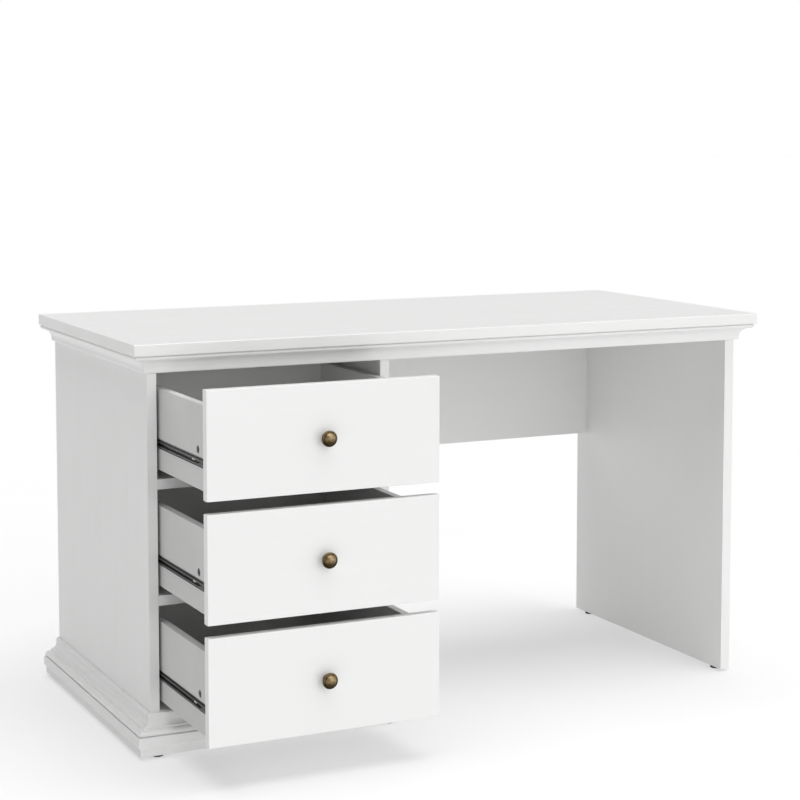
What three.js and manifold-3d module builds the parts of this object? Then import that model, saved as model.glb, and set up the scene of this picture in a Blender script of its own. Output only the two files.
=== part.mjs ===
// Writing desk with a three-drawer pedestal on the left and a panel leg on the right.
// Millimetres, +Z up, desk front towards -Y. The origin is on the floor, at the middle of
// the overall width and depth with the drawers standing open as they are at rest.
import * as THREE from 'three';
import { mergeVertices } from 'three/addons/utils/BufferGeometryUtils.js';
import Module from 'manifold-3d';

const wasm = await Module();
wasm.setup();

// ---- driving dimensions ----
const DESK_HEIGHT = 775;
const TOP_WIDTH = 1375;
const TOP_DEPTH = 640;
const TOP_THICKNESS = 22;
const OVERHANG = 35;
const SIDE_THICKNESS = 19;
const LEG_THICKNESS = 22;
const GLIDE_HEIGHT = 5;
const GLIDE_RADIUS = 11;
const GLIDE_BACK_SETBACK = 45;
const GLIDE_LEG_SETBACK = 36;
const GLIDE_PLINTH_REACH = 13;

const OPENING_WIDTH = 456.5;
const OPENING_HEIGHT = 200;
const RAIL_THICKNESS = 19.5;
const RAIL_DEPTH = 90;
const PEDESTAL_FLOOR = 80;
const PEDESTAL_BOTTOM_THICKNESS = 19;
const PEDESTAL_BACK_THICKNESS = 16;
const PEDESTAL_BACK_SETBACK = 4;

const MODESTY_THICKNESS = 18;
const MODESTY_SETBACK = 25.5;
const MODESTY_BOTTOM = 439;
const APRON_THICKNESS = 18;

const DRAWER_COUNT = 3;
const DRAWER_REST_OPEN = 260;
const FRONT_GAP = 1.7;
const FRONT_THICKNESS = 18;
const DRAWER_BOX_LENGTH = 500;
const DRAWER_SIDE_THICKNESS = 15;
const DRAWER_SIDE_HEIGHT = 152;
const DRAWER_SIDE_LIFT = 17;
const DRAWER_SIDE_GAP = 5;
const DRAWER_BOTTOM_THICKNESS = 4;
const DRAWER_BOTTOM_LIFT = 8;
const DRAWER_BOTTOM_INSET = 5.6;
const BOTTOM_SLOT_DEPTH = 6;
const SLOT_CLEARANCE = 0.3;

const SLIDE_SPACE = 10;
const SLIDE_CENTRE_LIFT = 49;
const GROOVE_HALF_HEIGHT = 9;
const SLIDE_FRONT_SETBACK = 3;
const CAGE_START = 40;
const CAGE_LENGTH = 140;
const CAGE_BALLS = 4;
const BALL_RADIUS = 1.2;

const KNOB_REACH = 25;
const KNOB_BORE_RADIUS = 2.3;
const KNOB_BORE_DEPTH = 11;
const SCREW_RADIUS = 2;
const SCREW_LENGTH = 28;
const SCREW_HOLE_RADIUS = 2.6;
const CAM_RADIUS = 7.5;
const CAM_DEPTH = 11.5;
const CAM_SETBACK = 35;
const CAM_LIFT = 70;

const MITRE_GAP = 0.15;
const EDGE = 0.6;

// ---- derived positions ----
const BODY_DEPTH = TOP_DEPTH - OVERHANG;
const FRONT_Y = (DRAWER_REST_OPEN + KNOB_REACH - BODY_DEPTH) / 2;
const BACK_Y = FRONT_Y + BODY_DEPTH;
const OUTER_X = TOP_WIDTH / 2 - OVERHANG;
const UNDER_TOP = DESK_HEIGHT - TOP_THICKNESS;
const OPENING_LEFT = -OUTER_X + SIDE_THICKNESS;
const OPENING_RIGHT = OPENING_LEFT + OPENING_WIDTH;
const PARTITION_RIGHT = OPENING_RIGHT + SIDE_THICKNESS;
const LEG_INNER = OUTER_X - LEG_THICKNESS;
const PITCH = OPENING_HEIGHT + RAIL_THICKNESS;
const OPENINGS_TOP = PEDESTAL_FLOOR + DRAWER_COUNT * PITCH - RAIL_THICKNESS;
const openingFloor = (number) => PEDESTAL_FLOOR + (DRAWER_COUNT - number) * PITCH;

// ---- moulding sections: distance out from the panel face, height ----
function arcPoints(centreOut, centreUp, radius, fromDegrees, toDegrees, steps) {
  const points = [];
  for (let i = 0; i <= steps; i += 1) {
    const angle = THREE.MathUtils.degToRad(fromDegrees + ((toDegrees - fromDegrees) * i) / steps);
    points.push([centreOut + radius * Math.cos(angle), centreUp + radius * Math.sin(angle)]);
  }
  return points;
}

// Under the top: a shadow quirk, a rounded bead, a deep cove and a small lip.
const CORNICE_SECTION = [
  [0, UNDER_TOP],
  [28.6, UNDER_TOP],
  [28.6, UNDER_TOP - 1.2],
  ...arcPoints(27.6, UNDER_TOP - 4.6, 3.4, 90, -60, 10),
  [27.2, UNDER_TOP - 9],
  ...arcPoints(27.2, UNDER_TOP - 28.6, 19.6, 90, 180, 14),
  ...arcPoints(4.4, UNDER_TOP - 31.8, 3.2, 0, -90, 6),
  [0, OPENINGS_TOP - 1],
];

// At the floor: a base block, a broad band, a sunk quirk, a torus, a ledge, a cove and a lip.
const PLINTH_SECTION = [
  [0, GLIDE_HEIGHT],
  [28.4, GLIDE_HEIGHT],
  [29.4, GLIDE_HEIGHT + 1],
  [29.4, 18],
  ...arcPoints(33.4, 18, 4, 180, 120, 4),
  ...arcPoints(29.8, 26, 4, -40, 0, 4),
  ...arcPoints(32.2, 40.8, 1.6, 0, 90, 4),
  [27.6, 42.6],
  [27.6, 44.6],
  ...arcPoints(23.6, 45.2, 7.8, 0, 80, 9),
  [19.4, 53.4],
  [18.6, 56.6],
  ...arcPoints(18.6, 68.6, 11.6, 262, 182, 10),
  [7, 75.4],
  ...arcPoints(3, 75.4, 4, 0, 90, 6),
  [0, 79.4],
];

// ---- geometry helpers ----
function shapeFrom(points) {
  return new THREE.Shape(points.map(([a, b]) => new THREE.Vector2(a, b)));
}

function extruded(points, length, edge = 0, edgeSteps = 1) {
  const geometry = new THREE.ExtrudeGeometry(shapeFrom(points), {
    depth: length - 2 * edge,
    bevelEnabled: edge > 0,
    bevelThickness: edge,
    bevelSize: edge,
    bevelOffset: -edge,
    bevelSegments: edgeSteps,
    steps: 1,
  });
  geometry.translate(0, 0, edge);
  return geometry;
}

function framed(geometry, xAxis, yAxis, zAxis, origin) {
  const matrix = new THREE.Matrix4();
  matrix.makeBasis(new THREE.Vector3(...xAxis), new THREE.Vector3(...yAxis), new THREE.Vector3(...zAxis));
  matrix.setPosition(...origin);
  return geometry.applyMatrix4(matrix);
}

function rectangle(a0, a1, b0, b1) {
  return [[a0, b0], [a1, b0], [a1, b1], [a0, b1]];
}

// A Y-Z outline run along X, an X-Z outline run along Y, an X-Y outline run along Z.
function alongX(points, x0, x1, edge, edgeSteps) {
  return framed(extruded(points, x1 - x0, edge, edgeSteps), [0, 1, 0], [0, 0, 1], [1, 0, 0], [x0, 0, 0]);
}

function alongY(points, y0, y1, edge, edgeSteps) {
  return framed(extruded(points, y1 - y0, edge, edgeSteps), [1, 0, 0], [0, 0, 1], [0, -1, 0], [0, y1, 0]);
}

function alongZ(points, z0, z1, edge, edgeSteps) {
  return framed(extruded(points, z1 - z0, edge, edgeSteps), [1, 0, 0], [0, 1, 0], [0, 0, 1], [0, 0, z0]);
}

// A straight moulding whose ends are square (mitre 0) or cut at 45 degrees (mitre 1).
function moulding(section, length, startMitre, endMitre) {
  const geometry = extruded(section, length);
  const position = geometry.getAttribute('position');
  for (let i = 0; i < position.count; i += 1) {
    const out = position.getX(i);
    const along = position.getZ(i);
    if (along < length / 2) {
      position.setZ(i, along - startMitre * (out - MITRE_GAP));
    } else {
      position.setZ(i, along + endMitre * (out - MITRE_GAP));
    }
  }
  geometry.computeVertexNormals();
  return geometry;
}

function turned(profile, segments) {
  return new THREE.LatheGeometry(profile.map(([r, h]) => new THREE.Vector2(r, h)), segments);
}

function solidOf(geometry) {
  const bare = geometry.index ? geometry.toNonIndexed() : geometry.clone();
  bare.deleteAttribute('normal');
  bare.deleteAttribute('uv');
  const merged = mergeVertices(bare, 1e-4);
  return new wasm.Manifold(new wasm.Mesh({
    numProp: 3,
    vertProperties: new Float32Array(merged.getAttribute('position').array),
    triVerts: new Uint32Array(merged.index.array),
  }));
}

function geometryOf(solid) {
  const mesh = solid.getMesh();
  const geometry = new THREE.BufferGeometry();
  geometry.setAttribute('position', new THREE.BufferAttribute(new Float32Array(mesh.vertProperties), 3));
  geometry.setIndex(new THREE.BufferAttribute(new Uint32Array(mesh.triVerts), 1));
  geometry.computeVertexNormals();
  return geometry;
}

function cut(geometry, cutters) {
  return geometryOf(cutters.reduce((solid, cutter) => solid.subtract(solidOf(cutter)), solidOf(geometry)));
}

function join(geometry, extras) {
  return geometryOf(extras.reduce((solid, extra) => solid.add(solidOf(extra)), solidOf(geometry)));
}

// ---- materials ----
const FINISHES = {
  white_foil: { color: 0xf1f1ef, roughness: 0.45, metalness: 0 },
  drawer_board: { color: 0xd4d4d1, roughness: 0.55, metalness: 0 },
  zinc_steel: { color: 0x6c6c6a, roughness: 0.4, metalness: 1 },
  cage_plastic: { color: 0xd8d8d2, roughness: 0.6, metalness: 0 },
  antique_brass: { color: 0x6b4a26, roughness: 0.35, metalness: 1 },
  black_plastic: { color: 0x17171a, roughness: 0.6, metalness: 0 },
};

function piece(name, geometry, finish) {
  const mesh = new THREE.Mesh(geometry, new THREE.MeshStandardMaterial(FINISHES[finish]));
  mesh.name = name;
  return mesh;
}

const desk = new THREE.Group();
desk.name = 'writing_desk';

// ---- top and the moulding under it ----
const topOutline = rectangle(-TOP_WIDTH / 2, TOP_WIDTH / 2, FRONT_Y - OVERHANG, BACK_Y);
desk.add(piece('top_board', alongZ(topOutline, UNDER_TOP, DESK_HEIGHT, 1.8, 3), 'white_foil'));

const frontRun = 2 * OUTER_X;
const toFront = (geometry, rightEnd) => (
  framed(geometry, [0, -1, 0], [0, 0, 1], [-1, 0, 0], [rightEnd, FRONT_Y, 0])
);
const toLeft = (geometry) => framed(geometry, [-1, 0, 0], [0, 0, 1], [0, 1, 0], [-OUTER_X, FRONT_Y, 0]);
const toRight = (geometry) => framed(geometry, [1, 0, 0], [0, 0, 1], [0, -1, 0], [OUTER_X, BACK_Y, 0]);
desk.add(piece('cornice_front', toFront(moulding(CORNICE_SECTION, frontRun, 1, 1), OUTER_X), 'white_foil'));
desk.add(piece('cornice_left', toLeft(moulding(CORNICE_SECTION, BODY_DEPTH, 1, 0)), 'white_foil'));
desk.add(piece('cornice_right', toRight(moulding(CORNICE_SECTION, BODY_DEPTH, 0, 1)), 'white_foil'));

// ---- upright panels ----
const uprightOutline = rectangle(FRONT_Y, BACK_Y, GLIDE_HEIGHT, UNDER_TOP);
const notchedOutline = [
  [FRONT_Y, GLIDE_HEIGHT],
  [BACK_Y, GLIDE_HEIGHT],
  [BACK_Y, UNDER_TOP],
  [FRONT_Y + APRON_THICKNESS, UNDER_TOP],
  [FRONT_Y + APRON_THICKNESS, OPENINGS_TOP],
  [FRONT_Y, OPENINGS_TOP],
];
desk.add(piece('pedestal_side', alongX(uprightOutline, -OUTER_X, OPENING_LEFT, EDGE), 'white_foil'));
desk.add(piece('partition', alongX(notchedOutline, OPENING_RIGHT, PARTITION_RIGHT, EDGE), 'white_foil'));
desk.add(piece('leg_panel', alongX(uprightOutline, LEG_INNER, OUTER_X, EDGE), 'white_foil'));

// ---- level boards and the panels at the back ----
const apronOutline = rectangle(FRONT_Y, FRONT_Y + APRON_THICKNESS, OPENINGS_TOP, UNDER_TOP);
desk.add(piece('apron_rail', alongX(apronOutline, OPENING_LEFT, LEG_INNER), 'white_foil'));

const pedestalBackFace = BACK_Y - PEDESTAL_BACK_SETBACK - PEDESTAL_BACK_THICKNESS;
const boardUnder = PEDESTAL_FLOOR - PEDESTAL_BOTTOM_THICKNESS;
const bottomOutline = rectangle(FRONT_Y, pedestalBackFace, boardUnder, PEDESTAL_FLOOR);
desk.add(piece('pedestal_bottom', alongX(bottomOutline, OPENING_LEFT, OPENING_RIGHT), 'white_foil'));

const backOutline = rectangle(OPENING_LEFT, OPENING_RIGHT, boardUnder, UNDER_TOP);
const pedestalBack = alongY(backOutline, pedestalBackFace, pedestalBackFace + PEDESTAL_BACK_THICKNESS);
desk.add(piece('pedestal_back', pedestalBack, 'white_foil'));

const modestyFace = BACK_Y - MODESTY_SETBACK - MODESTY_THICKNESS;
const modestyOutline = rectangle(PARTITION_RIGHT, LEG_INNER, MODESTY_BOTTOM, UNDER_TOP);
const modesty = alongY(modestyOutline, modestyFace, modestyFace + MODESTY_THICKNESS);
desk.add(piece('modesty_panel', modesty, 'white_foil'));

['rail_upper', 'rail_lower'].forEach((name, index) => {
  const railTop = openingFloor(index + 1);
  const outline = rectangle(FRONT_Y, FRONT_Y + RAIL_DEPTH, railTop - RAIL_THICKNESS, railTop);
  desk.add(piece(name, alongX(outline, OPENING_LEFT, OPENING_RIGHT), 'white_foil'));
});

// ---- plinth round the pedestal's front and left ----
const plinthRun = PARTITION_RIGHT + OUTER_X;
const plinthFront = toFront(moulding(PLINTH_SECTION, plinthRun, 0, 1), PARTITION_RIGHT);
desk.add(piece('plinth_front', plinthFront, 'white_foil'));
desk.add(piece('plinth_left', toLeft(moulding(PLINTH_SECTION, BODY_DEPTH, 1, 0)), 'white_foil'));

// ---- glides: the pedestal's front pair is under the plinth, the others under the panels ----
const GLIDE_PROFILE = [
  [0, 0],
  [GLIDE_RADIUS - 1.6, 0],
  [GLIDE_RADIUS - 0.4, 0.8],
  [GLIDE_RADIUS, 2.2],
  [GLIDE_RADIUS - 0.8, 3.6],
  [GLIDE_RADIUS - 2.4, GLIDE_HEIGHT],
  [0, GLIDE_HEIGHT],
];
const glideX = {
  left: (-OUTER_X + OPENING_LEFT) / 2,
  middle: (OPENING_RIGHT + PARTITION_RIGHT) / 2,
  right: (LEG_INNER + OUTER_X) / 2,
};
const glideFrontY = {
  left: FRONT_Y - GLIDE_PLINTH_REACH,
  middle: FRONT_Y - GLIDE_PLINTH_REACH,
  right: FRONT_Y + GLIDE_LEG_SETBACK,
};
for (const row of ['left', 'middle', 'right']) {
  for (const [place, y] of [['front', glideFrontY[row]], ['back', BACK_Y - GLIDE_BACK_SETBACK]]) {
    const glide = piece(`glide_${row}_${place}`, turned(GLIDE_PROFILE, 16), 'black_plastic');
    glide.rotation.x = Math.PI / 2;
    glide.position.set(glideX[row], y, 0);
    desk.add(glide);
  }
}

// ---- drawer slides: distance out from the cabinet wall, height from the slide's centre ----
const FIXED_SECTION = [
  [0, -8.5], [8.6, -8.5], [8.6, -6.9], [7.8, -6.9], [7.8, -7.5], [1.1, -7.5],
  [1.1, 7.5], [7.8, 7.5], [7.8, 6.9], [8.6, 6.9], [8.6, 8.5], [0, 8.5],
];
const MOVING_SECTION = [
  [10, -4.5], [10, 4.5], [2.5, 4.5], [2.5, 3.5], [9, 3.5], [9, -3.5], [2.5, -3.5], [2.5, -4.5],
];
const CAGE_SECTION = [
  [1.5, -6.3], [6.6, -6.3], [6.6, -5.7], [2.1, -5.7], [2.1, 5.7], [6.6, 5.7], [6.6, 6.3], [1.5, 6.3],
];

function slideSection(section, wall, direction, centreZ) {
  return section.map(([out, up]) => [wall + direction * out, centreZ + up]);
}

function cageGeometry(wall, direction, centreZ, y0) {
  const strip = alongY(slideSection(CAGE_SECTION, wall, direction, centreZ), y0, y0 + CAGE_LENGTH);
  const balls = [];
  for (let i = 0; i < CAGE_BALLS; i += 1) {
    for (const up of [-6, 6]) {
      const ball = new THREE.IcosahedronGeometry(BALL_RADIUS, 0);
      const y = y0 + ((i + 0.5) * CAGE_LENGTH) / CAGE_BALLS;
      balls.push(ball.translate(wall + direction * 5, y, centreZ + up));
    }
  }
  return join(strip, balls);
}

// ---- drawers, each drawn closed and then moved out to where it rests ----
const KNOB_PROFILE = [
  [0, KNOB_BORE_DEPTH],
  [KNOB_BORE_RADIUS, KNOB_BORE_DEPTH],
  [KNOB_BORE_RADIUS, 0],
  [8.4, 0],
  [8.6, 1.2],
  [7, 2.6],
  [5.6, 5],
  [5.8, 7.4],
  [8.2, 9.8],
  [12.4, 11.8],
  [14.6, 13.6],
  [14.8, 15.2],
  [14.1, 16.8],
  [12.6, 17.4],
  [11.6, 16.9],
  [10.8, 17.3],
  [9, 19.8],
  [6.6, 22.6],
  [3.6, 24.4],
  [0, KNOB_REACH],
];
const SCREW_PROFILE = [
  [0, 0],
  [4.1, 0],
  [4.1, 1.1],
  [3.2, 2.2],
  [1.6, 2.7],
  [0, 2.8],
];

function knobScrew() {
  const head = turned(SCREW_PROFILE, 18);
  const tip = 1 - SCREW_LENGTH;
  const shank = turned([[0, tip], [SCREW_RADIUS, tip], [SCREW_RADIUS, 0.5], [0, 0.5]], 14);
  return join(head, [shank]);
}

function sideSection(outer, inward, base) {
  const grooveDepth = SLIDE_SPACE - DRAWER_SIDE_GAP;
  const grooveCentre = base + SLIDE_CENTRE_LIFT;
  const inner = outer + inward * DRAWER_SIDE_THICKNESS;
  const slotBack = inner - inward * BOTTOM_SLOT_DEPTH;
  const slotLow = base + DRAWER_BOTTOM_LIFT - SLOT_CLEARANCE;
  const slotHigh = base + DRAWER_BOTTOM_LIFT + DRAWER_BOTTOM_THICKNESS + SLOT_CLEARANCE;
  return [
    [outer, base],
    [inner, base],
    [inner, slotLow],
    [slotBack, slotLow],
    [slotBack, slotHigh],
    [inner, slotHigh],
    [inner, base + DRAWER_SIDE_HEIGHT - 1],
    [inner - inward, base + DRAWER_SIDE_HEIGHT],
    [outer + inward, base + DRAWER_SIDE_HEIGHT],
    [outer, base + DRAWER_SIDE_HEIGHT - 1],
    [outer, grooveCentre + GROOVE_HALF_HEIGHT],
    [outer + inward * grooveDepth, grooveCentre + GROOVE_HALF_HEIGHT],
    [outer + inward * grooveDepth, grooveCentre - GROOVE_HALF_HEIGHT],
    [outer, grooveCentre - GROOVE_HALF_HEIGHT],
  ];
}

for (let number = 1; number <= DRAWER_COUNT; number += 1) {
  const floor = openingFloor(number);
  const base = floor + DRAWER_SIDE_LIFT;
  const slideZ = base + SLIDE_CENTRE_LIFT;
  const boxFront = FRONT_Y + FRONT_THICKNESS;
  const boxBack = boxFront + DRAWER_BOX_LENGTH;
  const middleX = (OPENING_LEFT + OPENING_RIGHT) / 2;
  const middleZ = floor + OPENING_HEIGHT / 2;
  const label = `drawer_${number}`;

  const drawer = new THREE.Group();
  drawer.name = label;
  drawer.position.set(0, -DRAWER_REST_OPEN, 0);
  desk.add(drawer);

  const frontOutline = rectangle(
    OPENING_LEFT + FRONT_GAP,
    OPENING_RIGHT - FRONT_GAP,
    floor + FRONT_GAP,
    floor + OPENING_HEIGHT - FRONT_GAP,
  );
  const hole = new THREE.CylinderGeometry(SCREW_HOLE_RADIUS, SCREW_HOLE_RADIUS, 3 * FRONT_THICKNESS, 16);
  hole.translate(middleX, FRONT_Y + FRONT_THICKNESS / 2, middleZ);
  const front = cut(alongY(frontOutline, FRONT_Y, boxFront, 1.4, 3), [hole]);
  drawer.add(piece(`${label}_front`, front, 'white_foil'));

  const sides = [
    { side: 'left', wall: OPENING_LEFT, inward: 1 },
    { side: 'right', wall: OPENING_RIGHT, inward: -1 },
  ];
  for (const { side, wall, inward } of sides) {
    const outer = wall + inward * DRAWER_SIDE_GAP;
    const cam = new THREE.CylinderGeometry(CAM_RADIUS, CAM_RADIUS, 2 * CAM_DEPTH, 24);
    cam.rotateZ(Math.PI / 2);
    cam.translate(outer, boxFront + CAM_SETBACK, base + CAM_LIFT);
    const board = cut(alongY(sideSection(outer, inward, base), boxFront, boxBack), [cam]);
    drawer.add(piece(`${label}_side_${side}`, board, 'drawer_board'));

    const moving = alongY(
      slideSection(MOVING_SECTION, wall, inward, slideZ),
      boxFront + SLIDE_FRONT_SETBACK,
      boxBack - SLIDE_FRONT_SETBACK,
    );
    drawer.add(piece(`${label}_slide_${side}`, moving, 'zinc_steel'));

    const fixed = alongY(
      slideSection(FIXED_SECTION, wall, inward, slideZ),
      boxFront + SLIDE_FRONT_SETBACK,
      boxBack - SLIDE_FRONT_SETBACK,
    );
    desk.add(piece(`cabinet_slide_${number}_${side}`, fixed, 'zinc_steel'));

    const cage = cageGeometry(wall, inward, slideZ, boxFront + CAGE_START + DRAWER_REST_OPEN / 2);
    const carrier = piece(`ball_cage_${number}_${side}`, cage, 'cage_plastic');
    carrier.position.y = -DRAWER_REST_OPEN / 2;
    desk.add(carrier);
  }

  const innerLeft = OPENING_LEFT + DRAWER_SIDE_GAP + DRAWER_SIDE_THICKNESS;
  const innerRight = OPENING_RIGHT - DRAWER_SIDE_GAP - DRAWER_SIDE_THICKNESS;
  const bottomLow = base + DRAWER_BOTTOM_LIFT;
  const bottomHigh = bottomLow + DRAWER_BOTTOM_THICKNESS;
  const back = alongY(
    rectangle(innerLeft, innerRight, bottomHigh + SLOT_CLEARANCE, base + DRAWER_SIDE_HEIGHT - 1),
    boxBack - DRAWER_SIDE_THICKNESS,
    boxBack,
  );
  drawer.add(piece(`${label}_back`, back, 'drawer_board'));

  const bottom = alongY(
    rectangle(innerLeft - DRAWER_BOTTOM_INSET, innerRight + DRAWER_BOTTOM_INSET, bottomLow, bottomHigh),
    boxFront,
    boxBack,
  );
  drawer.add(piece(`${label}_bottom`, bottom, 'drawer_board'));

  const knob = piece(`${label}_knob`, turned(KNOB_PROFILE, 24), 'antique_brass');
  knob.rotation.x = Math.PI;
  knob.position.set(middleX, FRONT_Y, middleZ);
  drawer.add(knob);

  const screw = piece(`${label}_knob_screw`, knobScrew(), 'zinc_steel');
  screw.position.set(middleX, boxFront, middleZ);
  drawer.add(screw);
}

export default desk;
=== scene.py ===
"""Looks of the white writing desk: boards, mouldings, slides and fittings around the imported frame."""

import math

import bmesh
import bpy
from mathutils import Matrix, Vector


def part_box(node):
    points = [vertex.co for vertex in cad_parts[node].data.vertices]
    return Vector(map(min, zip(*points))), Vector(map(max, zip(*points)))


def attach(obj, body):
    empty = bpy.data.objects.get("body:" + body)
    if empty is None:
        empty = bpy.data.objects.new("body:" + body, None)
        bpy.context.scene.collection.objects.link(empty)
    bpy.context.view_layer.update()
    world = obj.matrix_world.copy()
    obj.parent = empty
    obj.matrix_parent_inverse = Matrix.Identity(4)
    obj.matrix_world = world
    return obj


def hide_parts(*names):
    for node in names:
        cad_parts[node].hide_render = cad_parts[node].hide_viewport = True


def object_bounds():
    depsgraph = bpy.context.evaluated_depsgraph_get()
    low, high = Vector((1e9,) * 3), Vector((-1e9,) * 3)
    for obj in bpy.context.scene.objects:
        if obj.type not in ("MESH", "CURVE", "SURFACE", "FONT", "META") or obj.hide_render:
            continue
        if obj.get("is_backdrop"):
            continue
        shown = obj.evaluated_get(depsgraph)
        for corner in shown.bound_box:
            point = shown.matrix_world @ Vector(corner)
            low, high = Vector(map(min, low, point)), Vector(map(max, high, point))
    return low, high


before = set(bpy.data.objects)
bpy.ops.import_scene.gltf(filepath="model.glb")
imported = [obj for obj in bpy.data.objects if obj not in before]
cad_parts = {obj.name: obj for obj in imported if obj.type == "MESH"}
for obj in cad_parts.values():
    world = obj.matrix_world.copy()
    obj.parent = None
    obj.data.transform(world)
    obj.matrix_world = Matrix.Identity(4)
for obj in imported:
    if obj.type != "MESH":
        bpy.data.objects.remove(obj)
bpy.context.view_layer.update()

MM = 0.001
SHARP_ANGLE = math.radians(32)
BEVEL_ANGLE = math.radians(30)

# ---- places read from the frame, in metres ----
SIDE_LOW, SIDE_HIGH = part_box("pedestal_side")
FRONT_Y, BACK_Y = SIDE_LOW.y, SIDE_HIGH.y
OUTER_LEFT = SIDE_LOW.x
OUTER_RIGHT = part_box("leg_panel")[1].x
PARTITION_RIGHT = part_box("partition")[1].x
UNDER_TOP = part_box("top_board")[0].z
OPENINGS_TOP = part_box("apron_rail")[0].z
GLIDE_TOP = SIDE_LOW.z
DRAWERS = (1, 2, 3)
SIDES = (("left", 1), ("right", -1))


# ---- materials ----
class Shader:
    """A principled material and the few node chains the finishes share."""

    def __init__(self, name, roughness, metallic=0.0, specular=0.5):
        self.material = bpy.data.materials.new(name)
        self.material.use_nodes = True
        self.nodes = self.material.node_tree.nodes
        self.links = self.material.node_tree.links
        self.surface = self.nodes["Principled BSDF"]
        self.surface.inputs["Roughness"].default_value = roughness
        self.surface.inputs["Metallic"].default_value = metallic
        self.surface.inputs["Specular IOR Level"].default_value = specular
        self.place = self.nodes.new("ShaderNodeTexCoord").outputs["Object"]

    def link(self, source, target):
        self.links.new(source, target)

    def noise(self, scale, detail=2.0, stretch=(1, 1, 1)):
        mapping = self.nodes.new("ShaderNodeMapping")
        mapping.inputs["Scale"].default_value = stretch
        self.link(self.place, mapping.inputs["Vector"])
        texture = self.nodes.new("ShaderNodeTexNoise")
        texture.inputs["Scale"].default_value = scale
        texture.inputs["Detail"].default_value = detail
        self.link(mapping.outputs["Vector"], texture.inputs["Vector"])
        return texture.outputs["Fac"]

    def cells(self, scale):
        texture = self.nodes.new("ShaderNodeTexVoronoi")
        texture.inputs["Scale"].default_value = scale
        self.link(self.place, texture.inputs["Vector"])
        return texture.outputs["Distance"]

    def along(self, axis):
        split = self.nodes.new("ShaderNodeSeparateXYZ")
        self.link(self.place, split.inputs["Vector"])
        return split.outputs[axis]

    def spread(self, value, low, high, to_low, to_high):
        """Maps low..high to to_low..to_high, held at the ends."""
        node = self.nodes.new("ShaderNodeMapRange")
        for socket, number in zip(
            ("From Min", "From Max", "To Min", "To Max"), (low, high, to_low, to_high)
        ):
            node.inputs[socket].default_value = number
        self.link(value, node.inputs["Value"])
        return node.outputs["Result"]

    def maths(self, operation, first, second):
        node = self.nodes.new("ShaderNodeMath")
        node.operation = operation
        for socket, value in zip(node.inputs, (first, second)):
            if isinstance(value, (int, float)):
                socket.default_value = value
            else:
                self.link(value, socket)
        return node.outputs["Value"]

    def blend(self, factor, first, second):
        """A colour between two colours or colour outputs."""
        node = self.nodes.new("ShaderNodeMix")
        node.data_type = "RGBA"
        self.link(factor, node.inputs["Factor"])
        for socket, value in zip((node.inputs[6], node.inputs[7]), (first, second)):
            if isinstance(value, tuple):
                socket.default_value = (*value, 1)
            else:
                self.link(value, socket)
        return node.outputs[2]

    def bump(self, *layers):
        """Each layer is (height output, depth in metres)."""
        before = None
        for height, depth in layers:
            node = self.nodes.new("ShaderNodeBump")
            node.inputs["Distance"].default_value = depth
            node.inputs["Strength"].default_value = 1
            self.link(height, node.inputs["Height"])
            if before:
                self.link(before, node.inputs["Normal"])
            before = node.outputs["Normal"]
        self.link(before, self.surface.inputs["Normal"])

    def colour(self, output):
        self.link(output, self.surface.inputs["Base Color"])

    def roughness(self, output):
        self.link(output, self.surface.inputs["Roughness"])


def foil_finish(name, clean, dull, grain, roughness=0.42):
    """Satin white foil: cloudy tone, fine pressed grain along one axis and a pebbled skin."""
    shader = Shader(name, roughness)
    clouds = shader.noise(5.5, 3)
    streaks = shader.noise(60, 4, grain)
    pebble = shader.noise(1500, 2)
    cloud_tone = shader.spread(clouds, 0.35, 0.65, 0, 0.55)
    streak_tone = shader.spread(streaks, 0.3, 0.7, 0, 0.45)
    shader.colour(shader.blend(shader.maths("ADD", cloud_tone, streak_tone), clean, dull))
    shader.roughness(shader.spread(streaks, 0.3, 0.7, roughness - 0.05, roughness + 0.06))
    shader.bump((streaks, 0.008 * MM), (pebble, 0.008 * MM))
    return shader.material


WHITE = (0.782, 0.782, 0.778)
WHITE_DULL = (0.768, 0.768, 0.763)
BAND_WHITE = (0.778, 0.778, 0.772)
BAND_DULL = (0.758, 0.758, 0.750)
LONG_GRAIN = 0.06
foil_x = foil_finish("white_foil_level", WHITE, WHITE_DULL, (LONG_GRAIN, 1, 1))
foil_y = foil_finish("white_foil_deep", WHITE, WHITE_DULL, (1, LONG_GRAIN, 1))
foil_z = foil_finish("white_foil_upright", WHITE, WHITE_DULL, (1, 1, LONG_GRAIN))
edge_foil = foil_finish("white_edge_band", BAND_WHITE, BAND_DULL, (0.1, 0.1, 0.1), 0.36)


def melamine_finish(name, light, dark):
    """Drawer board with a fine two-tone fleck and a dry, slightly pearly face."""
    shader = Shader(name, 0.5)
    fleck = shader.noise(700, 3)
    clouds = shader.noise(7, 2)
    fleck_tone = shader.spread(fleck, 0.4, 0.62, 0, 0.6)
    cloud_tone = shader.spread(clouds, 0.35, 0.65, 0, 0.4)
    shader.colour(shader.blend(shader.maths("ADD", fleck_tone, cloud_tone), light, dark))
    shader.roughness(shader.spread(fleck, 0.3, 0.7, 0.44, 0.58))
    shader.bump((fleck, 0.02 * MM))
    return shader.material


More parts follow.
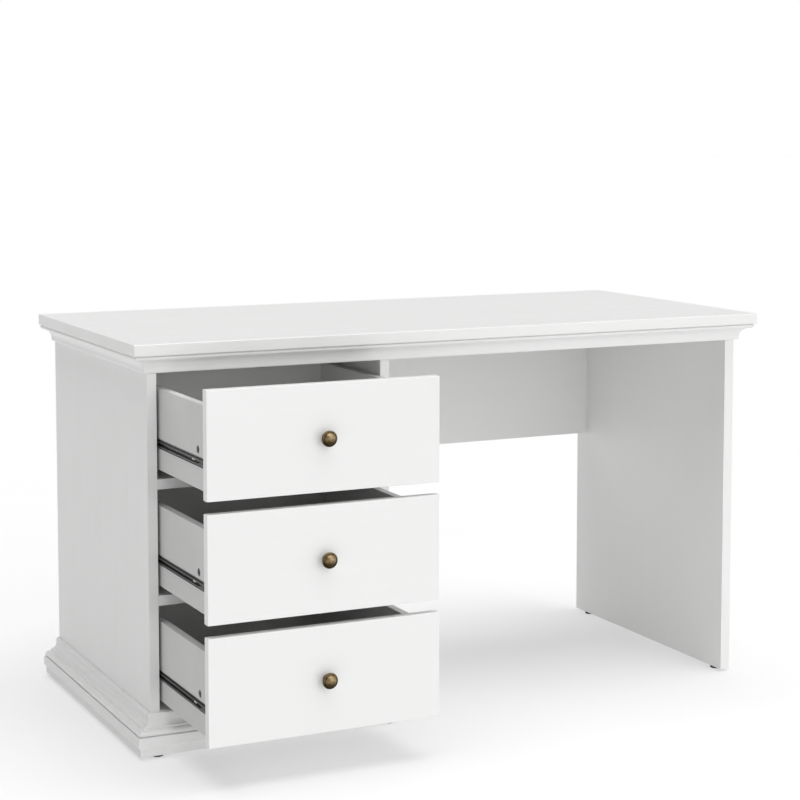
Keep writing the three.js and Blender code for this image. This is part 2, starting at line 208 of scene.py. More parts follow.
def steel_finish(name, light, dark, roughness):
    """Zinc-plated steel: rolling streaks along the slide, spangle and dull patches of grease."""
    shader = Shader(name, roughness, metallic=1.0)
    streaks = shader.noise(900, 3, (1, 0.02, 1))
    patches = shader.noise(38, 3)
    streak_tone = shader.spread(streaks, 0.3, 0.7, 0.5, 1)
    patch_tone = shader.spread(patches, 0.35, 0.65, 0.4, 1)
    shader.colour(shader.blend(shader.maths("MULTIPLY", streak_tone, patch_tone), dark, light))
    shader.roughness(shader.spread(patches, 0.3, 0.7, roughness - 0.08, roughness + 0.14))
    shader.bump((streaks, 0.008 * MM))
    shader.surface.inputs["Anisotropic"].default_value = 0.4
    return shader.material


PATINA_DARK = (0.030, 0.019, 0.006)
PATINA_LIGHT = (0.075, 0.050, 0.018)
# Rubbed brass colour, which on the upper dome is also a painted highlight.
RUBBED_AND_LIT_BRASS = (0.43, 0.32, 0.175)


def brass_finish():
    """Antique brass: dark behind the head, darker on its lower half as painted shade, and lighter on
    the upper dome as rubbed wear and a painted highlight.
    """
    shader = Shader("antique_brass_rubbed_and_lit", 0.34, metallic=1.0)
    depth = shader.along("Y")
    mottle = shader.noise(210, 4)
    spots = shader.cells(520)
    rubbed = shader.spread(depth, -16 * MM, -22 * MM, 0.25, 1.0)
    # Painted shade and highlight: darker towards the knob's bottom and lighter towards its top,
    # standing in for a reflection that is dark below and bright above.
    lit_top_mask = shader.spread(shader.along("Z"), -6 * MM, 4 * MM, 0.0, 1.0)
    patchy = shader.spread(mottle, 0.3, 0.62, 0.45, 1)
    wear_and_painted_light = shader.maths("MULTIPLY", rubbed, shader.maths("MULTIPLY", lit_top_mask, patchy))
    patina = shader.blend(shader.spread(mottle, 0.35, 0.65, 0, 1), PATINA_DARK, PATINA_LIGHT)
    shader.colour(shader.blend(wear_and_painted_light, patina, RUBBED_AND_LIT_BRASS))
    shader.roughness(shader.spread(mottle, 0.3, 0.7, 0.42, 0.58))
    shader.bump((mottle, 0.08 * MM), (spots, 0.03 * MM))
    return shader.material


def plastic_finish(name, light, dark, roughness):
    """Moulded plastic with a fine spark-eroded texture and faint flow marks."""
    shader = Shader(name, roughness)
    texture = shader.noise(2400, 2)
    flow = shader.noise(90, 3)
    shader.colour(shader.blend(shader.spread(flow, 0.35, 0.65, 0, 1), light, dark))
    shader.roughness(shader.spread(texture, 0.3, 0.7, roughness - 0.08, roughness + 0.08))
    shader.bump((texture, 0.03 * MM))
    return shader.material


melamine = melamine_finish("grey_melamine", (0.60, 0.60, 0.595), (0.52, 0.52, 0.512))
# A paler copy of the grey drawer board: painted light that lifts the shaded inside of the drawers.
melamine_painted_light = melamine_finish("melamine_painted_light", (0.715, 0.715, 0.71), (0.65, 0.65, 0.642))
zinc = steel_finish("zinc_plated_steel", (0.24, 0.24, 0.235), (0.11, 0.11, 0.11), 0.40)
dark_zinc = steel_finish("dark_zinc_casting", (0.16, 0.16, 0.155), (0.05, 0.05, 0.05), 0.5)
bright_steel = steel_finish("bright_steel", (0.72, 0.72, 0.70), (0.5, 0.5, 0.49), 0.24)
brass = brass_finish()
nylon = plastic_finish("natural_nylon", (0.62, 0.61, 0.57), (0.55, 0.54, 0.50), 0.5)
black = plastic_finish("black_moulded_plastic", (0.012, 0.012, 0.013), (0.022, 0.022, 0.023), 0.46)


# ---- mesh helpers ----
def finish_mesh(mesh):
    """Corners sharper than the limit stay crisp, and the rest shades smoothly."""
    mesh.shade_smooth()
    mesh.set_sharp_from_angle(angle=SHARP_ANGLE)


def add_piece(name, mesh, materials, body, replaced=(), origin=None):
    obj = bpy.data.objects.new(name, mesh)
    bpy.context.scene.collection.objects.link(obj)
    for material in materials:
        mesh.materials.append(material)
    if origin is not None:
        mesh.transform(Matrix.Translation(-Vector(origin)))
        obj.location = origin
    finish_mesh(mesh)
    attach(obj, body)
    if replaced:
        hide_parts(*replaced)
    return obj


def to_mesh(name, bm):
    bmesh.ops.recalc_face_normals(bm, faces=bm.faces)
    mesh = bpy.data.meshes.new(name)
    bm.to_mesh(mesh)
    bm.free()
    return mesh


def sharp_edges(bm):
    return [e for e in bm.edges if len(e.link_faces) == 2 and e.calc_face_angle(0) > BEVEL_ANGLE]


def rounded(bm, radius, segments):
    if radius > 0:
        bmesh.ops.bevel(
            bm, geom=sharp_edges(bm), offset=radius, segments=segments, profile=0.5,
            affect="EDGES", clamp_overlap=True,
        )


AXES = {"x": (1, 2, 0), "y": (0, 2, 1), "z": (0, 1, 2)}


def prism(outline, axis, start, end, radius=0.0, segments=2):
    """A closed outline in the plane across axis, run from start to end, with its edges rounded."""
    first, second, third = AXES[axis]
    bm = bmesh.new()
    rings = []
    for along in (start, end):
        ring = []
        for a, b in outline:
            point = [0.0, 0.0, 0.0]
            point[first], point[second], point[third] = a, b, along
            ring.append(bm.verts.new(point))
        rings.append(ring)
    bm.faces.new(rings[0])
    bm.faces.new(list(reversed(rings[1])))
    for i in range(len(outline)):
        j = (i + 1) % len(outline)
        bm.faces.new((rings[0][i], rings[0][j], rings[1][j], rings[1][i]))
    bmesh.ops.recalc_face_normals(bm, faces=bm.faces)
    rounded(bm, radius, segments)
    return bm


def rectangle(a0, a1, b0, b1):
    return [(a0, b0), (a1, b0), (a1, b1), (a0, b1)]


def arc(centre_out, centre_up, radius, start, end, steps):
    points = []
    for i in range(steps + 1):
        angle = math.radians(start + (end - start) * i / steps)
        points.append((centre_out + radius * math.cos(angle), centre_up + radius * math.sin(angle)))
    return points


def block(low, high, radius=0.0, segments=2):
    return prism(rectangle(low[0], high[0], low[1], high[1]), "z", low[2], high[2], radius, segments)


def in_metres(points):
    return [(a * MM, b * MM) for a, b in points]


def turned(profile, segments):
    """Profile points are (radius, height); the axis is Z."""
    bm = bmesh.new()
    rings = []
    for radius, height in profile:
        if radius < 1e-7:
            rings.append([bm.verts.new((0, 0, height))])
            continue
        ring = []
        for i in range(segments):
            angle = 2 * math.pi * i / segments
            ring.append(bm.verts.new((radius * math.cos(angle), radius * math.sin(angle), height)))
        rings.append(ring)
    for lower, upper in zip(rings, rings[1:]):
        for i in range(segments):
            j = (i + 1) % segments
            if len(lower) == 1 and len(upper) == 1:
                continue
            if len(lower) == 1:
                bm.faces.new((lower[0], upper[j], upper[i]))
            elif len(upper) == 1:
                bm.faces.new((lower[i], lower[j], upper[0]))
            else:
                bm.faces.new((lower[i], lower[j], upper[j], upper[i]))
    return bm


def rod(radius, start, end, segments):
    return turned([(0, start), (radius, start), (radius, end), (0, end)], segments)


def smooth_profile(points, steps):
    """A Catmull-Rom curve through (radius, height) points."""
    ends = [points[0], *points, points[-1]]
    curve = []
    for corners in zip(ends, ends[1:], ends[2:], ends[3:]):
        for i in range(steps):
            t = i / steps
            point = []
            for p, q, r, s in zip(*corners):
                square = (2 * p - 5 * q + 4 * r - s) * t * t
                cube = (3 * q - p - 3 * r + s) * t ** 3
                point.append(0.5 * (2 * q + (r - p) * t + square + cube))
            curve.append(tuple(point))
    curve.append(points[-1])
    return [(max(radius, 0.0), height) for radius, height in curve]


def turned_towards(bm, direction, centre):
    """Turns a lathe's Z axis to a direction and moves its foot to a point."""
    turn = Vector((0, 0, 1)).rotation_difference(Vector(direction)).to_matrix().to_4x4()
    bmesh.ops.transform(bm, matrix=Matrix.Translation(Vector(centre)) @ turn, verts=bm.verts)
    return bm


def merged(*parts):
    whole = bmesh.new()
    for part in parts:
        mesh = to_mesh("part", part)
        whole.from_mesh(mesh)
        bpy.data.meshes.remove(mesh)
    return whole


def carved(body_bm, cutters):
    """The body with each cutter taken away."""
    target = bpy.data.objects.new("carve_target", to_mesh("carve_target", body_bm))
    bpy.context.scene.collection.objects.link(target)
    made = [target]
    for cutter_bm in cutters:
        cutter = bpy.data.objects.new("carve_tool", to_mesh("carve_tool", cutter_bm))
        bpy.context.scene.collection.objects.link(cutter)
        made.append(cutter)
        modifier = target.modifiers.new("carve", "BOOLEAN")
        modifier.operation = "DIFFERENCE"
        modifier.solver = "EXACT"
        modifier.object = cutter
    bpy.context.view_layer.update()
    graph = bpy.context.evaluated_depsgraph_get()
    result = bmesh.new()
    result.from_mesh(target.evaluated_get(graph).to_mesh())
    for obj in made:
        mesh = obj.data
        bpy.data.objects.remove(obj)
        bpy.data.meshes.remove(mesh)
    return result


def even_shading(obj):
    """Normals follow the large flat faces, so that a narrow rounded edge does not tint them."""
    modifier = obj.modifiers.new("even_shading", "WEIGHTED_NORMAL")
    modifier.keep_sharp = True
    modifier.weight = 100
    return obj


SECOND_MATERIAL = 1


def mark_edges(mesh, thickness):
    """Faces no wider than a board's thickness take the second material, the edge band."""
    limit = thickness * 1.02
    for polygon in mesh.polygons:
        corners = [mesh.vertices[index].co for index in polygon.vertices]
        spans = sorted(max(c[k] for c in corners) - min(c[k] for c in corners) for k in range(3))
        if spans[1] < limit:
            polygon.material_index = SECOND_MATERIAL


def mark_inside(mesh, inner_x):
    """A drawer side's flat inner face takes the second material, the paler copy of the board that
    paints light into the drawer.
    """
    for polygon in mesh.polygons:
        if abs(polygon.center.x - inner_x) < 0.1 * MM:
            polygon.material_index = SECOND_MATERIAL


# ---- boards of the carcass ----
def board(node, name, body, finish, radius, segments=2, outline=None):
    """A foiled board in a node's box: rounded edges, and edge band on its narrow faces."""
    low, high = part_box(node)
    if outline:
        bm = prism(outline, "x", low.x, high.x, radius, segments)
    else:
        bm = block(low, high, radius, segments)
    mesh = to_mesh(name, bm)
    mark_edges(mesh, min(high - low))
    return even_shading(add_piece(name, mesh, [finish, edge_foil], body, [node]))


EASED = 0.6 * MM
board("top_board", "top_slab", "carcass", foil_x, 1.8 * MM, 5)
board("pedestal_side", "pedestal_side_panel", "carcass", foil_z, EASED)
board("leg_panel", "leg_side_panel", "carcass", foil_z, EASED)
board("apron_rail", "apron_board", "carcass", foil_x, EASED)
board("pedestal_bottom", "pedestal_floor_board", "carcass", foil_x, EASED)
board("pedestal_back", "pedestal_back_board", "carcass", foil_z, EASED)
board("modesty_panel", "modesty_board", "carcass", foil_x, EASED)
board("rail_upper", "rail_upper_board", "carcass", foil_x, EASED)
board("rail_lower", "rail_lower_board", "carcass", foil_x, EASED)

apron_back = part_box("apron_rail")[1].y
notched = [
    (FRONT_Y, GLIDE_TOP), (BACK_Y, GLIDE_TOP), (BACK_Y, UNDER_TOP),
    (apron_back, UNDER_TOP), (apron_back, OPENINGS_TOP), (FRONT_Y, OPENINGS_TOP),
]
board("partition", "partition_panel", "carcass", foil_z, EASED, outline=notched)

# ---- mouldings: (distance out from the panel face, height), in millimetres ----
CORNICE = [
    (0, 0), (28.6, 0), (28.6, -1.2),
    *arc(27.6, -4.6, 3.4, 90, -60, 16),
    (27.2, -9),
    *arc(27.2, -28.6, 19.6, 90, 180, 28),
    *arc(4.4, -31.8, 3.2, 0, -90, 10),
    (0, -35),
]
PLINTH = [
    (0, 5), (28.4, 5), (29.4, 6), (29.4, 18),
    *arc(33.4, 18, 4, 180, 120, 8),
    *arc(29.8, 26, 4, -40, 0, 8),
    *arc(32.2, 40.8, 1.6, 0, 90, 8),
    (27.6, 42.6), (27.6, 44.6),
    *arc(23.6, 45.2, 7.8, 0, 80, 14),
    (19.4, 53.4), (18.6, 56.6),
    *arc(18.6, 68.6, 11.6, 262, 182, 18),
    (7, 75.4),
    *arc(3, 75.4, 4, 0, 90, 10),
    (0, 79.4),
]
MITRE_GAP = 0.15 * MM


def moulding(name, node, section, base, finish, place, start, end):
    """Runs a section along a panel's face. start and end say where each point's run is cut."""
    bm = bmesh.new()
    rings = []
    for limit in (start, end):
        ring = []
        for out, up in section:
            ring.append(bm.verts.new(place(out * MM, limit(out * MM), base + up * MM)))
        rings.append(ring)
    bm.faces.new(rings[0])
    bm.faces.new(list(reversed(rings[1])))
    for i in range(len(section)):
        j = (i + 1) % len(section)
        bm.faces.new((rings[0][i], rings[0][j], rings[1][j], rings[1][i]))
    add_piece(name, to_mesh(name, bm), [finish], "carcass", [node])


def on_front(out, along, up):
    return (along, FRONT_Y - out, up)


def on_left(out, along, up):
    return (OUTER_LEFT - out, along, up)


def on_right(out, along, up):
    return (OUTER_RIGHT + out, along, up)


def at_left_corner(out):
    return OUTER_LEFT - out + MITRE_GAP


def at_right_corner(out):
    return OUTER_RIGHT + out - MITRE_GAP


def at_front_corner(out):
    return FRONT_Y - out + MITRE_GAP


def at_back(out):
    """A square cut, the same at every distance out."""
    return BACK_Y


def at_partition(out):
    """A square cut, the same at every distance out."""
    return PARTITION_RIGHT


for name, section, base, finish, place, start, end in (
    ("cornice_front", CORNICE, UNDER_TOP, foil_x, on_front, at_left_corner, at_right_corner),
    ("cornice_left", CORNICE, UNDER_TOP, foil_y, on_left, at_front_corner, at_back),
    ("cornice_right", CORNICE, UNDER_TOP, foil_y, on_right, at_front_corner, at_back),
    ("plinth_front", PLINTH, 0.0, foil_x, on_front, at_left_corner, at_partition),
    ("plinth_left", PLINTH, 0.0, foil_y, on_left, at_front_corner, at_back),
):
    moulding(f"{name}_run", name, section, base, finish, place, start, end)

# ---- glides: (radius, height above the floor), in millimetres ----
GLIDE = [
    (0, 1.1), (5.8, 1.1), (6.2, 0.9), (6.5, 0.1), (7, 0), (9.4, 0), (10.2, 0.3), (10.7, 0.9),
    (11, 1.9), (10.9, 2.8), (10.5, 3.6), (9.6, 4.3), (8.8, 5), (0, 5),
]
for node in sorted(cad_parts):
    if node.startswith("glide_"):
        low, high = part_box(node)
        centre = (low + high) / 2
        glide = turned(in_metres(GLIDE), 40)
        turned_towards(glide, (0, 0, 1), (centre.x, centre.y, low.z))
        add_piece(f"{node}_disc", to_mesh(node, glide), [black], "carcass", [node])


# ---- fittings shared by the drawers ----
CROSS_TURN = math.radians(36)


def cross_cutters(centre, direction, span, width, depth):
    """Two bars that cut a cross recess into a screw head or cam."""
    bars = []
    for turn in (0, math.pi / 2):
        bar = block((-span, -width / 2, -depth), (span, width / 2, depth))
        bmesh.ops.rotate(bar, verts=bar.verts, matrix=Matrix.Rotation(turn + CROSS_TURN, 3, "Z"))
        bars.append(turned_towards(bar, direction, centre))
    return bars


def pan_head(centre, direction, radius, height):
    shoulder = [(radius, 0), (radius, height * 0.4), (radius * 0.8, height * 0.86), (0, height)]
    head = turned([(0, 0), *smooth_profile(shoulder, 5)], 32)
    turned_towards(head, direction, centre)
    peak = Vector(centre) + Vector(direction) * height
    return carved(head, cross_cutters(peak, direction, radius * 0.55, radius * 0.22, height * 0.5))


def countersunk(centre, direction, radius):
    sunk, rise = 0.6 * MM, 0.5 * MM
    profile = [(0, -sunk), (radius * 0.6, -sunk), (radius, 0), (radius * 0.92, rise / 2), (0, rise)]
    head = turned(profile, 24)
    turned_towards(head, direction, centre)
    peak = Vector(centre) + Vector(direction) * rise
    return carved(head, cross_cutters(peak, direction, radius * 0.55, radius * 0.24, 0.45 * MM))


# ---- knobs: (radius, distance out from the drawer front), in millimetres ----
KNOB_NECK = [
    (8.4, 0), (8.7, 0.5), (8.6, 1.3), (7.6, 2.1), (6.4, 3.2), (5.6, 5), (5.8, 7.2), (7.7, 9.3),
    (10.7, 11), (13.1, 12.1),
]
KNOB_RIM = [
    (13.1, 12.1), (14.4, 13.1), (14.8, 14.4), (14.6, 15.9), (13.7, 17.1), (12.6, 17.4), (11.8, 16.9),
]
KNOB_DOME = [
    (11.8, 16.9), (11.4, 17.1), (11, 18), (9.6, 20.1), (7.2, 22.5), (3.9, 24.3), (0, 25),
]
KNOB_REACH = 25
SCREW_HEAD_RADIUS = 4.1
SCREW_SHANK_RADIUS = 2
SCREW_POINT = 1


def knob_piece(number, front_low):
    node = f"drawer_{number}_knob"
    low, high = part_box(node)
    centre = Vector(((low.x + high.x) / 2, front_low.y, (low.z + high.z) / 2))
    neck, rim = smooth_profile(KNOB_NECK, 3), smooth_profile(KNOB_RIM, 4)
    profile = [(0, 0), *neck[:-1], *rim[:-1], *smooth_profile(KNOB_DOME, 5)]
    reach = (front_low.y - low.y) / (KNOB_REACH * MM)
    knob = turned([(radius * MM, out * MM * reach) for radius, out in profile], 64)
    turned_towards(knob, (0, -1, 0), centre)
    mesh = to_mesh(node, knob)
    add_piece(f"{node}_turned", mesh, [brass], f"drawer_{number}", [node], centre)


def knob_screw_piece(number, front_high):
    node = f"drawer_{number}_knob_screw"
    low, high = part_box(node)
    centre = Vector(((low.x + high.x) / 2, front_high.y, (low.z + high.z) / 2))
    head = pan_head(centre, (0, 1, 0), SCREW_HEAD_RADIUS * MM, high.y - front_high.y)
    length = front_high.y - low.y
    radius = SCREW_SHANK_RADIUS * MM
    shank = turned([(0, 0), (radius, 0), (radius, length - SCREW_POINT * MM), (0, length)], 24)
    turned_towards(shank, (0, -1, 0), centre)
    mesh = to_mesh(node, merged(head, shank))
    add_piece(f"{node}_fixing", mesh, [zinc], f"drawer_{number}", [node])


CAM_DEPTH = 10.5
CAM_SUNK = 1.0
CAM_FACE = CAM_DEPTH - CAM_SUNK
CAM_DISH = CAM_FACE - 0.6
CAM = [
    (0, 0), (7.1, 0), (7.1, CAM_FACE - 0.5), (6.8, CAM_FACE),
    (5.4, CAM_FACE), (5.2, CAM_DISH), (0, CAM_DISH),
]


def cam_piece(number, side, inward, centre):
    """The turned cam that locks a drawer side to its front, sunk in its pocket."""
    direction = (-inward, 0, 0)
    foot = centre + Vector((inward * CAM_DEPTH * MM, 0, 0))
    cam = turned_towards(turned(in_metres(CAM), 40), direction, foot)
    peak = foot + Vector(direction) * CAM_DISH * MM
    cam = carved(cam, cross_cutters(peak, direction, 4 * MM, 1.3 * MM, 2 * MM))
    name = f"drawer_{number}_cam_{side}"
    add_piece(name, to_mesh(name, cam), [dark_zinc], f"drawer_{number}")


# ---- drawer boxes: plain numbers are in millimetres ----
SLIDE_LIFT = 49
GROOVE_HALF = 9
GROOVE_DEEP = 5
CAM_SETBACK = 35
CAM_LIFT = 70
CAM_RADIUS = 7.5
CAM_POCKET = 11.5
BOTTOM_SLOT = 6
SLOT_SLACK = 0.3
KNOB_HOLE_RADIUS = 2.6
SOFTENED = 0.35 * MM
PANEL_SOFTENED = 0.2 * MM
FRONT_SOFTENED = 1.4 * MM
BOX_BOARDS = (("back", "back_board", SOFTENED), ("bottom", "bottom_panel", PANEL_SOFTENED))


def drawer_side(number, side, inward):
    """A side board with the slide's groove, the bottom's slot and the pocket for the cam."""
    node = f"drawer_{number}_side_{side}"
    low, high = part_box(node)
    bottom_low, bottom_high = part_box(f"drawer_{number}_bottom")
    outer, inner = (low.x, high.x) if inward > 0 else (high.x, low.x)
    groove = low.z + SLIDE_LIFT * MM
    deep = outer + inward * GROOVE_DEEP * MM
    slot_back = inner - inward * BOTTOM_SLOT * MM
    slack = SLOT_SLACK * MM
    section = [
        (outer, low.z), (inner, low.z),
        (inner, bottom_low.z - slack), (slot_back, bottom_low.z - slack),
        (slot_back, bottom_high.z + slack), (inner, bottom_high.z + slack),
        (inner, high.z), (outer, high.z),
        (outer, groove + GROOVE_HALF * MM), (deep, groove + GROOVE_HALF * MM),
        (deep, groove - GROOVE_HALF * MM), (outer, groove - GROOVE_HALF * MM),
    ]
    bm = prism(section, "y", low.y, high.y, SOFTENED, 2)
    cam_centre = Vector((outer, low.y + CAM_SETBACK * MM, low.z + CAM_LIFT * MM))
    pocket = rod(CAM_RADIUS * MM, -CAM_POCKET * MM, CAM_POCKET * MM, 48)
    turned_towards(pocket, (-inward, 0, 0), cam_centre)
    mesh = to_mesh(node, carved(bm, [pocket]))
    mark_inside(mesh, inner)
    # The grey board outside; the paler copy inside is painted light.
    finishes = [melamine, melamine_painted_light]
    even_shading(add_piece(f"{node}_board", mesh, finishes, f"drawer_{number}", [node]))
    cam_piece(number, side, inward, cam_centre)


def drawer_front(number):
    node = f"drawer_{number}_front"
    low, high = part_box(node)
    screw_low, screw_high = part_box(f"drawer_{number}_knob_screw")
    centre = (screw_low + screw_high) / 2
    thickness = high.y - low.y
    hole = rod(KNOB_HOLE_RADIUS * MM, -thickness, 2 * thickness, 24)
    turned_towards(hole, (0, 1, 0), (centre.x, low.y, centre.z))
    mesh = to_mesh(node, carved(block(low, high, FRONT_SOFTENED, 4), [hole]))
    mark_edges(mesh, min(high - low))
    finishes = [foil_x, edge_foil]
    even_shading(add_piece(f"{node}_board", mesh, finishes, f"drawer_{number}", [node]))


# ---- slides: (distance out from the cabinet wall, height from the slide's centre), in millimetres ----
FIXED = [
    (0, -8.5), (7.9, -8.5), (8.6, -7.9), (8.6, -6.9), (7.8, -6.9), (7.8, -7.2), (7.5, -7.5),
    (1.6, -7.5), (1.1, -7.0), (1.1, 7.0), (1.6, 7.5), (7.5, 7.5), (7.8, 7.2), (7.8, 6.9),
    (8.6, 6.9), (8.6, 7.9), (7.9, 8.5), (0, 8.5),
]
MOVING = [
    (10, -4), (10, 4), (9.5, 4.5), (2.5, 4.5), (2.5, 3.5), (8.6, 3.5), (9, 3.1), (9, -3.1),
    (8.6, -3.5), (2.5, -3.5), (2.5, -4.5), (9.5, -4.5),
]
CAGE = [
    (1.5, -6.3), (6.6, -6.3), (6.6, -5.7), (2.1, -5.7), (2.1, 5.7), (6.6, 5.7), (6.6, 6.3), (1.5, 6.3),
]
# Places along a slide are measured from the drawer-side channel's front end.
WEB_FACE = 9
WEB_FRONT = 8.9
BALL_COUNT = 12
BALL_OUT = 5
BALL_UP = 6
BALL_RADIUS = 1.2
SCREW_PLACES = (34, 210, 420)
SCREW_RADIUS = 3
SLOT_PLACES = (90, 160, 300, 380)
SLOT_RADIUS = 1.7
SLOT_STRAIGHT = 4
BUMPER_OUT, BUMPER_START, BUMPER_LOW = 3, 47, -0.4
BUMPER_END, BUMPER_HIGH = 57, 3.3
CLIP_OUT = 2.6
CLIP = [
    (0, -3.4), (24, -3.4), (24, -1.2), (12, -0.4), (12, 0.6), (22, 1.4), (22, 3.0), (8, 3.4), (0, 3.4),
]


def slide_section(section, wall, inward, centre_z):
    return [(wall + inward * out * MM, centre_z + up * MM) for out, up in section]


def slide_parts(number, side, inward):
    """A slide's drawer channel, cabinet channel, ball cage and the small fittings in the channel."""
    drawer = f"drawer_{number}"
    moving_node = f"{drawer}_slide_{side}"
    fixed_node = f"cabinet_slide_{number}_{side}"
    low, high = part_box(moving_node)
    fixed_low, fixed_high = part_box(fixed_node)
    centre_z = (low.z + high.z) / 2
    wall = fixed_low.x if inward > 0 else fixed_high.x
    web_x = wall + inward * WEB_FACE * MM

    moving = prism(slide_section(MOVING, wall, inward, centre_z), "y", low.y, high.y)
    slots = [slot_cutter(web_x, low.y + place * MM, centre_z) for place in SLOT_PLACES]
    mesh = to_mesh(moving_node, carved(moving, slots))
    add_piece(f"{moving_node}_channel", mesh, [zinc], drawer, [moving_node])

    fixed = prism(slide_section(FIXED, wall, inward, centre_z), "y", fixed_low.y, fixed_high.y)
    mesh = to_mesh(fixed_node, fixed)
    add_piece(f"{fixed_node}_channel", mesh, [zinc], "carcass", [fixed_node])

    cage_parts(number, side, inward, wall, centre_z)

    heads = []
    for place in SCREW_PLACES:
        centre = (web_x, low.y + place * MM, centre_z)
        heads.append(countersunk(centre, (-inward, 0, 0), SCREW_RADIUS * MM))
    mesh = to_mesh("screws", merged(*heads))
    add_piece(f"{drawer}_slide_screws_{side}", mesh, [dark_zinc], drawer)

    mesh = to_mesh("bumper", slide_bumper(wall, inward, low.y, centre_z))
    add_piece(f"{drawer}_slide_bumper_{side}", mesh, [nylon], drawer)

    mesh = to_mesh("clip", front_clip(wall, inward, low.y, centre_z))
    add_piece(f"{drawer}_slide_clip_{side}", mesh, [black], drawer)


def cage_parts(number, side, inward, wall, centre_z):
    """The nylon strip that runs at half the drawer's travel, and its two rows of balls."""
    node = f"ball_cage_{number}_{side}"
    body = f"cage_{number}_{side}"
    low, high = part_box(node)
    cage = prism(slide_section(CAGE, wall, inward, centre_z), "y", low.y, high.y)
    add_piece(f"{node}_strip", to_mesh(node, cage), [nylon], body, [node])

    balls = bmesh.new()
    radius = BALL_RADIUS * MM
    for i in range(BALL_COUNT):
        along = low.y + (i + 0.5) / BALL_COUNT * (high.y - low.y)
        for up in (-BALL_UP, BALL_UP):
            place = Matrix.Translation((wall + inward * BALL_OUT * MM, along, centre_z + up * MM))
            bmesh.ops.create_icosphere(balls, subdivisions=2, radius=radius, matrix=place)
    add_piece(f"{node}_balls", to_mesh(f"{node}_balls", balls), [bright_steel], body)


def slot_cutter(web_x, y, z):
    """An oblong hole through a channel's web."""
    half = arc(SLOT_STRAIGHT, 0, SLOT_RADIUS, -90, 90, 8)
    outline = half + [(-along, -up) for along, up in half]
    points = [(y + along * MM, z + up * MM) for along, up in outline]
    return prism(points, "x", web_x - 2 * MM, web_x + 2 * MM)


def slide_bumper(wall, inward, front_y, centre_z):
    """The pale stop block behind the clip."""
    outside = wall + inward * BUMPER_OUT * MM
    inside = wall + inward * WEB_FRONT * MM
    low = (min(outside, inside), front_y + BUMPER_START * MM, centre_z + BUMPER_LOW * MM)
    high = (max(outside, inside), front_y + BUMPER_END * MM, centre_z + BUMPER_HIGH * MM)
    return block(low, high, 0.7 * MM, 3)


def front_clip(wall, inward, front_y, centre_z):
    """The black stop that closes the channel's front end, with its release lever."""
    points = [(front_y + along * MM, centre_z + up * MM) for along, up in CLIP]
    outside = wall + inward * CLIP_OUT * MM
    inside = wall + inward * WEB_FRONT * MM
    return prism(points, "x", min(outside, inside), max(outside, inside), 0.25 * MM, 2)


for number in DRAWERS:
    drawer = f"drawer_{number}"
    front_low, front_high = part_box(f"{drawer}_front")
    drawer_front(number)
    for part, name, radius in BOX_BOARDS:
        # Back and bottom take the paler board copy: painted light inside the drawer.
        board(f"{drawer}_{part}", f"{drawer}_{name}", drawer, melamine_painted_light, radius)
    knob_piece(number, front_low)
    knob_screw_piece(number, front_high)
    for side, inward in SIDES:
        drawer_side(number, side, inward)
        slide_parts(number, side, inward)

# ---- floor, light and camera ----
FLOOR_RADIUS = 60
FLOOR_LIGHT = (0.49, 0.49, 0.49)
FLOOR_DARK = (0.475, 0.475, 0.475)
FLOOR_GLOW = 0.42
floor_bm = bmesh.new()
bmesh.ops.create_circle(floor_bm, cap_ends=True, radius=FLOOR_RADIUS, segments=96)
floor = bpy.data.objects.new("studio_floor", to_mesh("studio_floor", floor_bm))
bpy.context.scene.collection.objects.link(floor)
floor_shader = Shader("pale_floor", 0.9, specular=0.0)
floor_shader.colour(floor_shader.blend(floor_shader.noise(4, 2), FLOOR_DARK, FLOOR_LIGHT))
floor_shader.surface.inputs["Emission Color"].default_value = (1, 1, 1, 1)
floor_shader.surface.inputs["Emission Strength"].default_value = FLOOR_GLOW
floor.data.materials.append(floor_shader.material)
floor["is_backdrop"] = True

SKY = 0.02
HORIZON = 1.0
HORIZON_TOP = 0.12
SKY_START = 0.27
world = bpy.data.worlds.new("studio")
world.use_nodes = True
bpy.context.scene.world = world
tree = world.node_tree
direction = tree.nodes.new("ShaderNodeTexCoord")
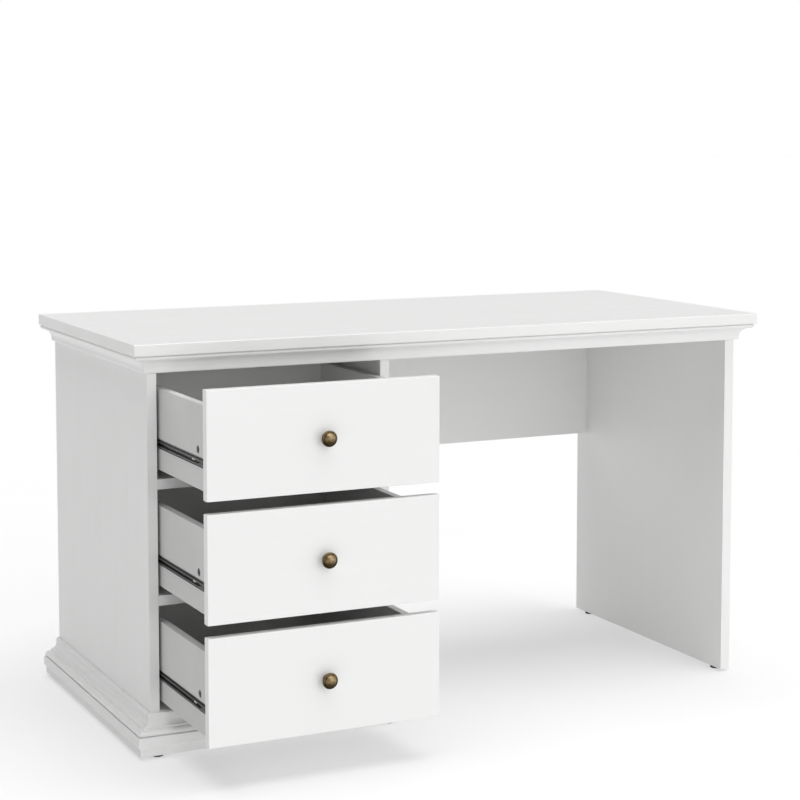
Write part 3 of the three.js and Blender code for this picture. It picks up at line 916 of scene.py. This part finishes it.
height = tree.nodes.new("ShaderNodeSeparateXYZ")
strength = tree.nodes.new("ShaderNodeMapRange")
strength.interpolation_type = "SMOOTHSTEP"
for socket, number in (
    ("From Min", HORIZON_TOP), ("From Max", SKY_START), ("To Min", HORIZON), ("To Max", SKY),
):
    strength.inputs[socket].default_value = number
background = tree.nodes["Background"]
background.inputs["Color"].default_value = (1, 1, 1, 1)
tree.links.new(direction.outputs["Generated"], height.inputs["Vector"])
tree.links.new(height.outputs["Z"], strength.inputs["Value"])
tree.links.new(strength.outputs["Result"], background.inputs["Strength"])


def studio_light(name, energy, spread, come_from):
    """A soft light from a direction, as from a large box far away."""
    light = bpy.data.lights.new(name, "SUN")
    light.energy = energy
    light.angle = math.radians(spread)
    obj = bpy.data.objects.new(name, light)
    bpy.context.scene.collection.objects.link(obj)
    obj.rotation_mode = "QUATERNION"
    obj.rotation_quaternion = Vector(come_from).to_track_quat("Z", "Y")


studio_light("key", 1.2, 75, (0.70, -0.50, 0.50))
studio_light("fill", 0.73, 50, (0.0, -0.90, 0.45))
studio_light("overhead", 2.66, 60, (0.0, 0.0, 1.0))

# The camera's turn from the +Y direction and its tilt down, in radians, and its place in metres.
YAW, PITCH = -0.44859, 0.08524
CAMERA_PLACE = (-1.8108, -3.6432, 1.1868)
SENSOR_MM, LENS_MM = 36, 89.64
SHIFT_UP = -0.14
camera = bpy.data.cameras.new("camera")
camera.sensor_width = SENSOR_MM
camera.lens = LENS_MM
camera.shift_y = SHIFT_UP
camera.clip_start, camera.clip_end = 0.05, 200
camera_object = bpy.data.objects.new("camera", camera)
bpy.context.scene.collection.objects.link(camera_object)
level = math.cos(PITCH)
forward = Vector((-math.sin(YAW) * level, math.cos(YAW) * level, -math.sin(PITCH)))
camera_object.location = CAMERA_PLACE
camera_object.rotation_mode = "QUATERNION"
camera_object.rotation_quaternion = forward.to_track_quat("-Z", "Y")
bpy.context.scene.camera = camera_object
bpy.context.scene.view_settings.view_transform = "Standard"

low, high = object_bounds()
